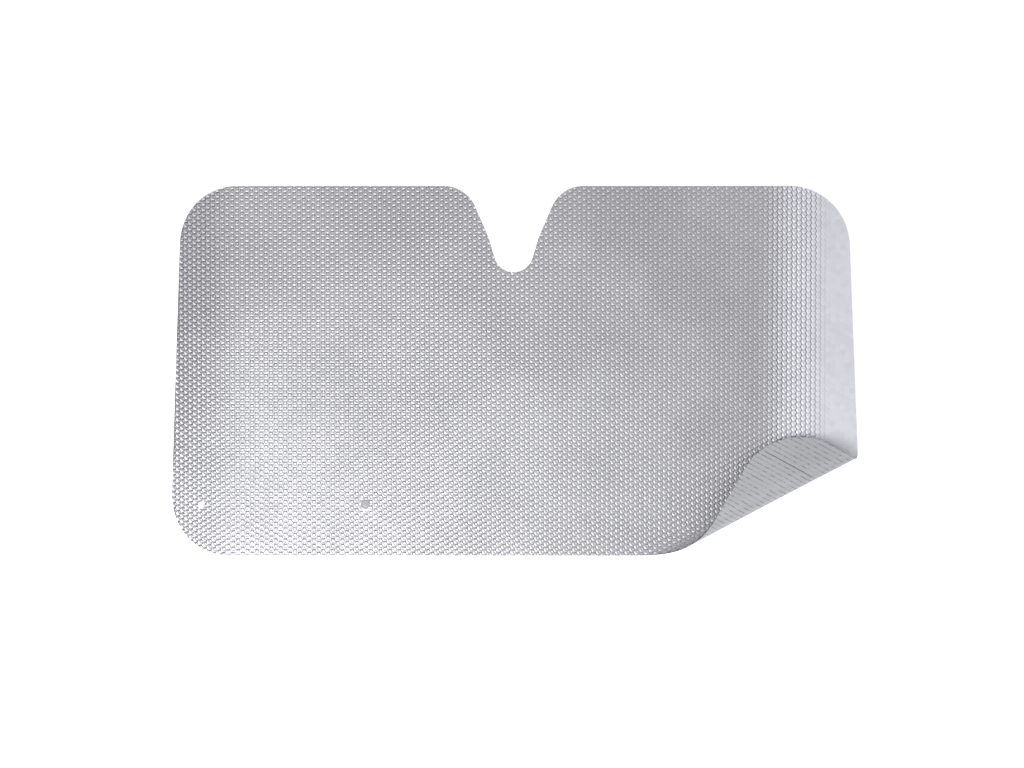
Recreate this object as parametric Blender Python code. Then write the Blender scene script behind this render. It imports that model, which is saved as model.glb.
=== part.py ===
"""Windscreen sunshade of silver bubble film, lying on its back with one lower corner folded over.

Metres, +Z up, +X along the width, +Y towards the mirror notch. The sheet is drawn flat as it was cut,
raised into columns of bubbles, folded across its right lower corner and then curled at both ends.
The origin is under the middle of the lying shade, on the floor.
"""
import math

import bmesh
import bpy
from mathutils import Matrix, Vector

# Outline of the flat sheet
SHEET_HEIGHT = 0.700
TOP_WIDTH = 1.260
BOTTOM_WIDTH = 1.318
TOP_CORNER_RADIUS = 0.115
BOTTOM_CORNER_RADIUS = 0.120

# Mirror notch: round shoulders, steep upper walls, steeper lower walls and a round bottom
NOTCH_DEPTH = 0.163
NOTCH_SHOULDER_RADIUS = 0.065
NOTCH_BOTTOM_RADIUS = 0.037
NOTCH_WAIST_WIDTH = 0.094
NOTCH_WAIST_RISE = 0.065
NOTCH_WAIST_RADIUS = 0.150
NOTCH_UPPER_ANGLE = math.radians(23.5)

# Bubble film: bubbles stand in close-packed columns along Y
BUBBLE_PITCH = 0.0104
BUBBLE_TOP = 0.0040
FILM_THICKNESS = 0.0010

# Corner folded over the front, round a cone that tapers to the right: where the bend starts on the
# bottom edge, its slope, how far the cone's tip is beyond the side, the cone's half angle and the turn
FOLD_START_X = 0.202
FOLD_SLOPE = math.radians(24.2)
FOLD_TIP_BEYOND = 0.180
FOLD_TAPER = math.radians(3.37)
FOLD_TURN = math.radians(201.5)

# Ends that spring up from the floor after being rolled
CURL_START_X = -0.500
CURL_RADIUS = 0.220
RISE_START_X = 0.360
RISE_RADIUS = 2.200

# Button hole and closure stud, in line above the bottom edge; the hole is set in from the left corner
BUTTON_LINE = 0.097
BUTTON_HOLE_INSET = 0.066
BUTTON_HOLE_DIAMETER = 0.0150
STUD_X = -0.281
STUD_HEAD_DIAMETER = 0.0170
STUD_HEAD_THICKNESS = 0.0016
STUD_HEAD_RIM = 0.0022
STUD_HEAD_BEVEL = 0.0005
STUD_SHANK_DIAMETER = 0.0052
CAP_DIAMETER = 0.0160
CAP_THICKNESS = 0.0012
CAP_FLOOR = 0.0004
PINCHED_THICKNESS = 0.0012
PINCH_WALL = 0.0015
CLEARANCE = 0.0003

# Fineness of the facets
ARC_STEP = math.radians(7.5)
FOLD_SEGMENTS = 10
RISE_STEP = 0.060
ROUND_SEGMENTS = 32
CUT_TOLERANCE = 5e-5
MERGE_DISTANCE = 1e-6
CUTTER_REACH = 0.020


def clear_scene():
    for thing in list(bpy.data.objects):
        bpy.data.objects.remove(thing, do_unlink=True)


def new_material(name, colour, roughness, metallic, alpha):
    material = bpy.data.materials.new(name)
    material.use_nodes = True
    shader = material.node_tree.nodes["Principled BSDF"]
    shader.inputs["Base Color"].default_value = (*colour, 1.0)
    shader.inputs["Roughness"].default_value = roughness
    shader.inputs["Metallic"].default_value = metallic
    shader.inputs["Alpha"].default_value = alpha
    return material


def new_object(name, bm, material=None):
    mesh = bpy.data.meshes.new(name)
    bm.to_mesh(mesh)
    bm.free()
    thing = bpy.data.objects.new(name, mesh)
    if material:
        mesh.materials.append(material)
    bpy.context.scene.collection.objects.link(thing)
    return thing


def rounded(corners):
    """Points round a closed outline of (x, y, radius) corners, each turned into an arc."""
    points = []
    for index, (x, y, radius) in enumerate(corners):
        corner = Vector((x, y))
        before = (Vector(corners[index - 1][:2]) - corner).normalized()
        after = (Vector(corners[(index + 1) % len(corners)][:2]) - corner).normalized()
        half = before.angle(after) / 2
        centre = corner + (before + after).normalized() * radius / math.sin(half)
        start = corner + before * radius / math.tan(half) - centre
        turn = before.angle_signed(-after)
        steps = max(2, math.ceil(abs(turn) / ARC_STEP))
        for step in range(steps + 1):
            points.append(centre + Matrix.Rotation(-turn * step / steps, 2) @ start)
    return points


def sheet_outline():
    """Outline of the flat sheet, anticlockwise, with the notch on its centre line."""
    top = SHEET_HEIGHT / 2
    waist = NOTCH_WAIST_WIDTH / 2
    waist_depth = NOTCH_DEPTH - NOTCH_WAIST_RISE
    shoulder = waist + waist_depth * math.tan(NOTCH_UPPER_ANGLE)
    tip_depth = waist_depth + waist / math.tan(notch_lower_angle())
    right = [
        (BOTTOM_WIDTH / 2, -top, BOTTOM_CORNER_RADIUS),
        (TOP_WIDTH / 2, top, TOP_CORNER_RADIUS),
        (shoulder, top, NOTCH_SHOULDER_RADIUS),
        (waist, top - waist_depth, NOTCH_WAIST_RADIUS),
    ]
    tip = [(0.0, top - tip_depth, NOTCH_BOTTOM_RADIUS)]
    left = [(-x, y, radius) for x, y, radius in reversed(right)]
    return rounded(right + tip + left)


def notch_lower_angle():
    """Angle off vertical of the notch's lower walls, which touch its round bottom."""
    drop = NOTCH_WAIST_RISE - NOTCH_BOTTOM_RADIUS
    waist = NOTCH_WAIST_WIDTH / 2
    return math.atan2(waist, drop) - math.asin(NOTCH_BOTTOM_RADIUS / math.hypot(waist, drop))


def column_spacing():
    return BUBBLE_PITCH * math.sqrt(3) / 2


def relief(x):
    """Height of the film's front at x: a half ellipse over each bubble column, in four flats."""
    quarters = 4 * x / column_spacing()
    below = math.floor(quarters)
    ends = []
    for line in (below, below + 1):
        from_crest = (line + 2) % 4 - 2
        ends.append(math.sqrt(1 - (from_crest / 2) ** 2))
    share = ends[0] + (ends[1] - ends[0]) * (quarters - below)
    return FILM_THICKNESS + (BUBBLE_TOP - FILM_THICKNESS) * share


def cut_along(bm, point, normal):
    geometry = bm.verts[:] + bm.edges[:] + bm.faces[:]
    bmesh.ops.bisect_plane(bm, geom=geometry, dist=CUT_TOLERANCE, plane_co=point, plane_no=normal)


def fold_frame():
    """Tip of the fold's cone, the way from it along the start of the bend, and the way across it."""
    start = Vector((FOLD_START_X, -SHEET_HEIGHT / 2, 0.0))
    along = Vector((-math.cos(FOLD_SLOPE), -math.sin(FOLD_SLOPE), 0.0))
    across = Vector((math.sin(FOLD_SLOPE), -math.cos(FOLD_SLOPE), 0.0))
    length = (BOTTOM_WIDTH / 2 + FOLD_TIP_BEYOND - FOLD_START_X) / math.cos(FOLD_SLOPE)
    return start - along * length, along, across


def flat_sheet():
    """The flat film as a solid, with ridges for bubble columns and edges where it will bend."""
    bm = bmesh.new()
    bm.faces.new([bm.verts.new((p.x, p.y, 0.0)) for p in sheet_outline()])
    quarter = column_spacing() / 4
    lines = math.ceil(max(TOP_WIDTH, BOTTOM_WIDTH) / 2 / quarter)
    for line in range(-lines, lines + 1):
        cut_along(bm, (line * quarter, 0.0, 0.0), (1.0, 0.0, 0.0))
    tip, along, across = fold_frame()
    for step in range(FOLD_SEGMENTS + 1):
        angle = math.sin(FOLD_TAPER) * FOLD_TURN * step / FOLD_SEGMENTS
        cut_along(bm, tip, across * math.cos(angle) - along * math.sin(angle))
    raised = bmesh.ops.extrude_face_region(bm, geom=bm.faces[:])
    for element in raised["geom"]:
        if isinstance(element, bmesh.types.BMVert):
            element.co.z = relief(element.co.x)
    bmesh.ops.recalc_face_normals(bm, faces=bm.faces)
    smooth_back(bm)
    return bm


def smooth_back(bm):
    """Join the strips of the film's back, which has no ridges, except where the back curls."""
    seams = []
    for edge in bm.edges:
        ends = [vert.co for vert in edge.verts]
        on_back = max(end.z for end in ends) < FILM_THICKNESS / 2
        along_y = abs(ends[0].x - ends[1].x) < CUT_TOLERANCE
        between = all(abs(face.normal.z) > 0.5 for face in edge.link_faces)
        if on_back and along_y and between and ends[0].x > CURL_START_X:
            seams.append(edge)
    bmesh.ops.dissolve_edges(bm, edges=seams, use_verts=True)


def disc(name, x, y, diameter, low, high):
    """A round cutter or pad between two heights."""
    bm = bmesh.new()
    bmesh.ops.create_cone(
        bm, cap_ends=True, segments=ROUND_SEGMENTS, radius1=diameter / 2, radius2=diameter / 2,
        depth=high - low, matrix=Matrix.Translation((x, y, (low + high) / 2)))
    tool = new_object(name, bm)
    tool.hide_render = True
    tool.display_type = "WIRE"
    return tool


def button_line_y():
    return BUTTON_LINE - SHEET_HEIGHT / 2


def button_hole_x():
    return BUTTON_HOLE_INSET - BOTTOM_WIDTH / 2


def recess_depth():
    """Depth of the pocket that keeps the stud's cap level with the film's back."""
    return CAP_THICKNESS + CLEARANCE


def pinch_top():
    """Height of the film's front where the stud presses the bubbles flat."""
    return recess_depth() + PINCHED_THICKNESS


def pinch_and_punch(sheet):
    """Press the film flat under the stud, pocket its back for the cap and punch both holes."""
    y = button_line_y()
    pocket = CAP_DIAMETER + 2 * CLEARANCE
    pinch = max(STUD_HEAD_DIAMETER, pocket) + 2 * PINCH_WALL
    bore = STUD_SHANK_DIAMETER + 2 * CLEARANCE
    top = pinch_top()
    tools = [
        ("UNION", disc("pinched_film", STUD_X, y, pinch, FILM_THICKNESS / 2, top)),
        ("DIFFERENCE", disc("pressed_front", STUD_X, y, pinch, top, top + CUTTER_REACH)),
        ("DIFFERENCE", disc("cap_pocket", STUD_X, y, pocket, -CUTTER_REACH, recess_depth())),
        ("DIFFERENCE", disc("shank_hole", STUD_X, y, bore, -CUTTER_REACH, CUTTER_REACH)),
        ("DIFFERENCE", disc("button_hole", button_hole_x(), y, BUTTON_HOLE_DIAMETER,
                            -CUTTER_REACH, CUTTER_REACH)),
    ]
    for operation, tool in tools:
        cut = sheet.modifiers.new(tool.name, "BOOLEAN")
        cut.operation = operation
        cut.object = tool
    evaluated = sheet.evaluated_get(bpy.context.evaluated_depsgraph_get())
    bm = bmesh.new()
    bm.from_mesh(evaluated.to_mesh())
    sheet.modifiers.clear()
    for _, tool in tools:
        bpy.data.objects.remove(tool, do_unlink=True)
    return bm


def folded(point):
    """Where a point of the flat sheet goes when its right lower corner is folded over the front."""
    tip, along, across = fold_frame()
    flat = Vector((point.x, point.y, 0.0)) - tip
    angle = math.atan2(flat.dot(across), flat.dot(along))
    if angle <= 0:
        return point.copy()
    sine, cosine = math.sin(FOLD_TAPER), math.cos(FOLD_TAPER)
    turn = min(angle / sine, FOLD_TURN)
    beyond = angle - turn * sine
    up = Vector((0.0, 0.0, 1.0))
    axis = along * cosine + up * sine
    under = along * sine - up * cosine
    outward = under * math.cos(turn) + across * math.sin(turn)
    line = axis * cosine + outward * sine
    side = across * math.cos(turn) - under * math.sin(turn)
    inward = axis * sine - outward * cosine
    place = (line * math.cos(beyond) + side * math.sin(beyond)) * flat.length
    return tip + place + inward * point.z


def curled(point):
    """Where a point goes when both ends of the sheet curl up on their radii."""
    moved = point.copy()
    for start, radius, side in ((CURL_START_X, CURL_RADIUS, -1), (RISE_START_X, RISE_RADIUS, 1)):
        past = (point.x - start) * side
        if past > 0:
            turn = past / radius
            moved.x = start + side * (radius - point.z) * math.sin(turn)
            moved.z = radius - (radius - point.z) * math.cos(turn)
    return moved


def bubble_sheet(material):
    sheet = new_object("bubble_sheet", flat_sheet(), material)
    bm = pinch_and_punch(sheet)
    bmesh.ops.triangulate(bm, faces=bm.faces)
    for vert in bm.verts:
        vert.co = folded(vert.co)
    end = max(vert.co.x for vert in bm.verts)
    for step in range(math.ceil(max(0.0, end - RISE_START_X) / RISE_STEP)):
        cut_along(bm, (RISE_START_X + step * RISE_STEP, 0.0, 0.0), (1.0, 0.0, 0.0))
    for vert in bm.verts:
        vert.co = curled(vert.co)
    bmesh.ops.triangulate(bm, faces=bm.faces)
    bm.to_mesh(sheet.data)
    bm.free()
    return sheet


def seat_on_sheet(thing, x, y):
    """Place a piece on the bent sheet, upright on the film where the flat sheet has (x, y)."""
    step = CUT_TOLERANCE
    seat = curled(folded(Vector((x, y, 0.0))))
    along = (curled(folded(Vector((x + step, y, 0.0)))) - seat).normalized()
    up = along.cross(curled(folded(Vector((x, y + step, 0.0)))) - seat).normalized()
    turned = Matrix((along, up.cross(along), up)).transposed().to_4x4()
    thing.matrix_world = Matrix.Translation(seat) @ turned


def turned_piece(name, profile, material):
    """A round piece from (radius, height) points that run from the axis and back to it."""
    bm = bmesh.new()
    ring = [bm.verts.new((radius, 0.0, height)) for radius, height in profile]
    edges = [bm.edges.new(pair) for pair in zip(ring, ring[1:])]
    bmesh.ops.spin(bm, geom=ring + edges, cent=(0.0, 0.0, 0.0), axis=(0.0, 0.0, 1.0),
                   angle=math.tau, steps=ROUND_SEGMENTS)
    bmesh.ops.remove_doubles(bm, verts=bm.verts, dist=MERGE_DISTANCE)
    bmesh.ops.recalc_face_normals(bm, faces=bm.faces)
    piece = new_object(name, bm, material)
    piece.data.shade_smooth()
    piece.data.set_sharp_from_angle(angle=math.radians(40.0))
    seat_on_sheet(piece, STUD_X, button_line_y())
    return piece


def stud_button(material):
    """Head with a raised rim, and the shank that passes through the film."""
    seat = pinch_top() + CLEARANCE
    head = STUD_HEAD_DIAMETER / 2
    shank = STUD_SHANK_DIAMETER / 2
    floor = seat + STUD_HEAD_THICKNESS
    bevel = STUD_HEAD_BEVEL
    profile = [
        (0.0, shank_end()),
        (shank, shank_end()),
        (shank, seat),
        (head, seat),
        (head, floor),
        (head - bevel, floor + bevel),
        (head - STUD_HEAD_RIM, floor + bevel),
        (head - STUD_HEAD_RIM - bevel, floor),
        (0.0, floor),
    ]
    return turned_piece("stud_button", profile, material)


def shank_end():
    """Height of the shank's lower end, which stops in the cap's blind hole."""
    return CAP_FLOOR + CLEARANCE


def stud_cap(material):
    """Round cap in the pocket of the film's back, with a blind hole for the shank."""
    radius = CAP_DIAMETER / 2
    hole = STUD_SHANK_DIAMETER / 2 + CLEARANCE
    profile = [
        (0.0, 0.0),
        (radius, 0.0),
        (radius, CAP_THICKNESS),
        (hole, CAP_THICKNESS),
        (hole, CAP_FLOOR),
        (0.0, CAP_FLOOR),
    ]
    return turned_piece("stud_cap", profile, material)


def centre_on_origin(sheet, pieces):
    """Hang every piece on one empty, placed so that the shade's middle is over the origin."""
    middle = Vector((0.0, 0.0, 0.0))
    for axis in (0, 1):
        places = [vert.co[axis] for vert in sheet.data.vertices]
        middle[axis] = (min(places) + max(places)) / 2
    holder = bpy.data.objects.new("sunshade", None)
    bpy.context.scene.collection.objects.link(holder)
    holder.location = -middle
    for piece in pieces:
        piece.parent = holder


def main():
    clear_scene()
    film = new_material("silver_film", (0.78, 0.78, 0.80), 0.30, 1.0, 1.0)
    plastic = new_material("clear_plastic", (0.80, 0.80, 0.82), 0.25, 0.0, 0.7)
    sheet = bubble_sheet(film)
    pieces = [sheet, stud_button(plastic), stud_cap(plastic)]
    centre_on_origin(sheet, pieces)
    bpy.context.view_layer.update()


main()
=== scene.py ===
"""Windscreen sunshade of silver bubble film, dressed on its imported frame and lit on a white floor.

The film is made in the flat as one closed sheet: a front of close-packed bubbles, a smooth back and the
cut edge between them. It is then folded over at its right lower corner and curled at both ends, on the
same lines and radii as the frame. The closure stud is a head on a shank and a cap let into the back.
"""
import math

import bmesh
import bpy
import numpy as np
from mathutils import Matrix, Vector
from mathutils.geometry import delaunay_2d_cdt


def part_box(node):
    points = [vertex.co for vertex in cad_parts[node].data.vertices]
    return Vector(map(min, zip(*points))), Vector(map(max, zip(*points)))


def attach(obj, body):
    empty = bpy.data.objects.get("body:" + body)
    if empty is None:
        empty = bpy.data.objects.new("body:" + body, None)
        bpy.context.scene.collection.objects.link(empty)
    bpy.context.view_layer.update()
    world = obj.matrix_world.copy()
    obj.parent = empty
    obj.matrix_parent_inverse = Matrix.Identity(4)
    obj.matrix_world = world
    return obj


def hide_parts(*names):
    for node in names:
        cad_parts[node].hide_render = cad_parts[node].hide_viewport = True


bl_info = {
    "name": "Bubble Film Sunshade",
    "version": (1, 0, 0),
    "blender": (4, 5, 0),
    "location": "View3D > Sidebar > Sunshade",
    "description": "Makes a windscreen sunshade of silver bubble film with its closure stud and stage",
    "category": "Object",
}

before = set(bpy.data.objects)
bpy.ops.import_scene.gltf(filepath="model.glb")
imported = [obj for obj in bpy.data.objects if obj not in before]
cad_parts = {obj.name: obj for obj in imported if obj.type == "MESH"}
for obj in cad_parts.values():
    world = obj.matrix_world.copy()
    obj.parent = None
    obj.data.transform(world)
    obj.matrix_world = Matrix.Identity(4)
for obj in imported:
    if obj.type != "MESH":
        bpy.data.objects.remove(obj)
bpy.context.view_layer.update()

# Outline of the flat sheet
SHEET_HEIGHT = 0.700
TOP_WIDTH = 1.260
BOTTOM_WIDTH = 1.318
TOP_CORNER_RADIUS = 0.115
BOTTOM_CORNER_RADIUS = 0.120

# Mirror notch
NOTCH_DEPTH = 0.163
NOTCH_SHOULDER_RADIUS = 0.065
NOTCH_BOTTOM_RADIUS = 0.037
NOTCH_WAIST_WIDTH = 0.094
NOTCH_WAIST_RISE = 0.065
NOTCH_WAIST_RADIUS = 0.150
NOTCH_UPPER_ANGLE = math.radians(23.5)

# Folded corner and curled ends
FOLD_START_X = 0.202
FOLD_SLOPE = math.radians(24.2)
FOLD_TIP_BEYOND = 0.180
FOLD_TAPER = math.radians(3.37)
FOLD_TURN = math.radians(201.5)
CURL_START_X = -0.500
CURL_RADIUS = 0.220
RISE_START_X = 0.360
RISE_RADIUS = 2.200

# Button hole and closure stud
BUTTON_LINE_Y = -0.253
BUTTON_HOLE_X = -0.593
BUTTON_HOLE_RADIUS = 0.0075
STUD_X = -0.281
HEAD_RADIUS = 0.0085
HEAD_SEAT = 0.0030
HEAD_THICKNESS = 0.0016
HEAD_RIM = 0.0022
HEAD_BEVEL = 0.0005
SHANK_RADIUS = 0.0026
SHANK_END = 0.0007
BORE_RADIUS = 0.0029
CAP_RADIUS = 0.0080
CAP_THICKNESS = 0.0012
CAP_FLOOR = 0.0004
POCKET_RADIUS = 0.0083
POCKET_DEPTH = 0.0015
PINCH_TOP = 0.0027
PINCH_RADIUS = 0.0089
PINCH_LEAD = 0.0022
HEAD_DISH_SLOPE = 1.4
GATE_INSET = 0.0022
GATE_BEVEL = 0.0004
GATE_RISE = 0.0002
CAP_RING = 0.0010

# Making of the stud's discs, and the flow marks in their plastic
DISC_SIDES = 48
LEAST_FACING = 0.9
RIM_SHARE = 0.99
SMOOTH_ANGLE = math.radians(35.0)
FLOW_FINENESS = 260.0
FLOW_TONE = 0.16
FLOW_ROUGHNESS = 0.12

# Bubbles: shares of the pitch, and how much one differs from the next
RING_SHARE = 0.28
OUTER_SHARE = 0.62
SHALLOWEST_DISH = 0.80
LEAN = 0.03
RING_SPREAD = 0.03
RING_JITTER = 0.01

# Right end, where rolling has rubbed the bubbles flat
WORN_START_X = 0.500
WORN_WIDTH = 0.100
WORN_FLAT = 0.94
WORN_EASE = 1.5

# Long crease across the back of the folded corner, a dip with painted shade along it
CREASE_X = 0.5802
CREASE_FROM_Y = -0.335
CREASE_TO_Y = -0.228
CREASE_WIDTH = 0.0022
CREASE_SOFT_END = 0.9

# Fineness and margins of the mesh
ARC_STEP = math.radians(2.5)
SNAP = 0.0003
SLOPE_STEP = 1e-6
LEAST_SLOPE = 0.5
HALVINGS = 14
KEY_STEP = 100000
SAME_PLACE = 1e-7
POCKET_POINTS = 40
BACK_MARGIN = 0.0035
FOLD_MARGIN = 0.01
JUST_INSIDE = 0.93
TRIANGLE_LIMIT = 199000

# Zones along the aluminised face, in metres of the flat film: where the painted shade and light on the
# rubbed end's bubble flanks start, are full and fade, where the face turns to a bright cool painted sheen,
# where the curled end is painted darker, and where the marks between bubbles calm
FLANK_SHADE_START_X = 0.460
FLANK_SHADE_FULL_X = 0.500
FLANK_SHADE_FADE_X = 0.560
SHEEN_START_X = 0.450
SHEEN_FULL_X = 0.540
CURL_FULL_X = -0.600
CALM_START_X = -0.200
CALM_FULL_X = 0.150

# Marks on each bubble: the two places, in pitches, between which each fades in. The first three place
# painted shade between bubbles of a column, painted light between columns and a painted shade spot on top;
# the ring bands a painted highlight ring; the flank band painted shade and light; the curled-end place and
# band painted shade spots; the last bands the back's broken lines and the painted shade of opened bubbles in
# the cut edge
VALLEY_SHADE_BAND = (0.33, 0.46)
SEAM_LIGHT_BAND = (0.28, 0.44)
SPOT_SHADE_BAND = (0.17, 0.05)
HIGHLIGHT_RING_INNER_BAND = (0.12, 0.20)
HIGHLIGHT_RING_OUTER_BAND = (0.34, 0.25)
FLANK_SHADE_AND_LIGHT_BAND = (0.26, 0.40)
CURL_SHADE_PLACE = (0.28, -0.20, 0.0)
CURL_SHADE_BAND = (0.24, 0.08)
BACK_GAP_BAND = (0.33, 0.42)
OPEN_BUBBLE_SHADE_BAND = (0.45, 0.25)

# How far each mark lightens or darkens the aluminised face. Besides the random bubble tone and the cloudy
# patches, these are painted light and shade: a highlight ring, light between columns, shade and light on the
# flanks, shade spots and overall darkening on the curled end; the calm zone is also a little lighter
BUBBLE_TONE = 0.08
CLOUD_TONE = 0.04
RING_HIGHLIGHT_TONE = 0.06
SEAM_LIGHT_TONE = 0.40
RIGHT_FLANK_SHADE_TONE = -0.55
LEFT_FLANK_LIGHT_TONE = 0.12
CURL_SPOT_SHADE_TONE = -0.55
CURL_SHADE_TONE = -0.12
CALM_TONE = 0.04

# How much the calm zone takes from the painted shade and light between bubbles, and how cool the cloudy
# patches are
CALM_VALLEY_SHADE = -0.90
CALM_SEAM_LIGHT = -0.55
CLOUD_COOLNESS = 0.1
CLOUD_BAND = (0.35, 0.65)

# Handling marks and the broken lines on the smooth back
FRONT_CREASE_FINENESS = 60.0
BACK_CREASE_FINENESS = 26.0
BACK_DASH_SCALE = (130.0, 110.0, 1.0)
BACK_DASH_BAND = (0.42, 0.60)
BACK_FAINTEST_DASH = 0.20
BACK_LINE_SHARE = 0.38
BACK_LINE_DEPTH = 0.5
BACK_CLOUD_TONE = 0.06
OPEN_BUBBLE_SHADE_SHARE = 0.5

# How much rougher the aluminised face is in places
BUBBLE_ROUGHNESS = 0.04
CURL_ROUGHNESS = 0.09
CALM_ROUGHNESS = 0.10

# Metal and roughness of each face of the film, and bumps as a strength and a height in metres
FRONT_METAL = 0.8
BACK_METAL = 0.3
BACK_ROUGHNESS = 0.50
EDGE_METAL = 0.5
EDGE_ROUGHNESS = 0.45
FRONT_BUMP = (0.25, 0.0008)
BACK_BUMP = (0.20, 0.0006)
FLOW_BUMP = (0.2, 0.0002)

# Stage
FLOOR_SIZE = 40.0
FLOOR_DROP = 0.0003
FLOOR_PAINT = 0.80
FLOOR_GLOW = 0.62
OVERHEAD_STARTS = 0.55
RED_GREEN_SHARE = 0.985
SHADE_MIDDLE = Vector((-0.0070, -0.0243, 0.0))
SENSOR_WIDTH = 36.0
CORNER_LAMP_PLACE = (-0.50, -0.62, 0.56)
CORNER_LAMP_TARGET = (-0.42, -0.35, 0.0)
CORNER_LAMP_SIZE = (0.7, 0.3)
EDGE_LAMP_PLACE = (-0.65, -1.45, 2.2)
EDGE_LAMP_TARGET = (-0.2, -0.1, 0.0)
EDGE_LAMP_SIZE = (1.0, 0.6)

# Material slots of the film, and what each vertex of its front belongs to
FRONT, BACK, EDGE = 0, 1, 2
DISH, CREST, VALLEY, CUT = 0, 1, 2, 3


def metres(name, description, default):
    return bpy.props.FloatProperty(
        name=name, description=description, default=default, min=0.0, subtype="DISTANCE", unit="LENGTH")


def share(name, description, default):
    return bpy.props.FloatProperty(
        name=name, description=description, default=default, min=0.0, max=1.0, subtype="FACTOR")


def colour(name, description, default):
    return bpy.props.FloatVectorProperty(
        name=name, description=description, default=default, size=3, min=0.0, max=1.0, subtype="COLOR")


class FilmSettings(bpy.types.PropertyGroup):
    bubble_pitch: metres("Bubble pitch", "Distance between neighbouring bubbles of a column", 0.0104)
    bubble_top: metres("Bubble top", "Height of a full bubble over the film's back", 0.0030)
    film_thickness: metres("Film thickness", "Thickness of the film between the bubbles", 0.0010)
    dimple: metres("Dimple", "Depth of the deepest dished bubble top", 0.0013)
    unevenness: share("Unevenness", "How much one bubble differs from the next", 0.06)
    seed: bpy.props.IntProperty(name="Seed", description="Picks which bubbles differ", default=7, min=0)
    front_colour: colour("Front colour", "Aluminised face over the bubbles", (0.50, 0.50, 0.52))
    # Painted shade: the darker colour laid where two bubbles of a column meet
    valley_shade_colour: colour(
        "Valley colour", "Aluminised face where two bubbles of a column meet", (0.30, 0.30, 0.32))
    back_colour: colour("Back colour", "Smooth back of the film", (0.56, 0.57, 0.59))
    # Partly the edge's own colour, partly painted shade along the cut edge
    edge_and_shade_colour: colour("Edge colour", "Cut edge of the film", (0.14, 0.14, 0.16))
    # Lavender tint with a painted sheen: the rubbed end is coloured much lighter than the rest of the face
    cool_sheen_colour: colour("Cool colour", "Lavender tint of the rubbed end of the face", (0.78, 0.78, 0.83))
    # Painted shade: a dull dark spot on each bubble's top
    top_spot_shade: share("Top spot", "How dull the spot on top of the dullest bubble is", 0.25)
    roughness: share("Roughness", "Roughness of the aluminised face", 0.46)


class StudSettings(bpy.types.PropertyGroup):
    plastic_colour: colour("Plastic colour", "Translucent plastic of the stud", (0.40, 0.40, 0.43))
    roughness: share("Roughness", "Roughness of the moulded plastic", 0.45)


class StageSettings(bpy.types.PropertyGroup):
    camera_distance: metres("Camera distance", "Distance from the camera to the shade's middle", 5.8)
    camera_lens: bpy.props.FloatProperty(
        name="Lens", description="Focal length of the camera in millimetres", default=107.7, min=1.0)
    camera_tilt: bpy.props.FloatProperty(
        name="Tilt", description="How far the camera leans from straight overhead",
        default=math.radians(2.0), subtype="ANGLE", unit="ROTATION")
    overhead: share("Overhead light", "Brightness of the studio straight overhead", 0.82)
    sides: share("Side light", "Brightness of the studio near the horizon", 0.60)
    corner_lamp: bpy.props.FloatProperty(
        name="Corner lamp", description="Power of the low lamp beside the left lower corner",
        default=7.6, min=0.0, unit="POWER")
    edge_lamp: bpy.props.FloatProperty(
        name="Edge lamp", description="Power of the soft lamp beyond the lower edge",
        default=6.0, min=0.0, unit="POWER")


def deselect_all():
    for thing in bpy.context.selected_objects:
        thing.select_set(False)


def add_node(tree, kind, inputs=None, **settings):
    """Add a node, set its options, and set or link its inputs."""
    made = tree.nodes.new(kind)
    for name, value in settings.items():
        setattr(made, name, value)
    for name, value in (inputs or {}).items():
        if isinstance(value, bpy.types.NodeSocket):
            tree.links.new(value, made.inputs[name])
        else:
            made.inputs[name].default_value = value
    return made


def math_node(tree, operation, first, second=0.0, third=0.0, clamp=False):
    return add_node(tree, "ShaderNodeMath", {0: first, 1: second, 2: third},
                    operation=operation, use_clamp=clamp).outputs[0]


def ramp_between(tree, value, low, high):
    """0 below low, 1 above high and a smooth step between."""
    return add_node(tree, "ShaderNodeMapRange", {"Value": value, "From Min": low, "From Max": high},
                    interpolation_type="SMOOTHSTEP").outputs["Result"]


def mix_colours(tree, amount, first, second):
    """Mix two colours, each a socket or red, green and blue; 6 and 7 are the node's colour sockets."""
    mixed = add_node(tree, "ShaderNodeMix", {0: amount}, data_type="RGBA")
    for index, value in ((6, first), (7, second)):
        if isinstance(value, bpy.types.NodeSocket):
            tree.links.new(value, mixed.inputs[index])
        else:
            mixed.inputs[index].default_value = (*value, 1.0)
    return mixed.outputs[2]


def scaled_colour(tree, value, tone):
    return add_node(tree, "ShaderNodeVectorMath", {0: value, "Scale": tone}, operation="SCALE").outputs[0]


def add_bump(tree, shader, height, strength, distance):
    bump = add_node(tree, "ShaderNodeBump", {"Height": height, "Strength": strength, "Distance": distance})
    tree.links.new(bump.outputs[0], shader.inputs["Normal"])


def new_group(name, inputs, outputs):
    group = bpy.data.node_groups.new(name, "ShaderNodeTree")
    for label, kind in inputs:
        group.interface.new_socket(name=label, in_out="INPUT", socket_type=kind)
    for label, kind in outputs:
        group.interface.new_socket(name=label, in_out="OUTPUT", socket_type=kind)
    return group, group.nodes.new("NodeGroupInput"), group.nodes.new("NodeGroupOutput")


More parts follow.
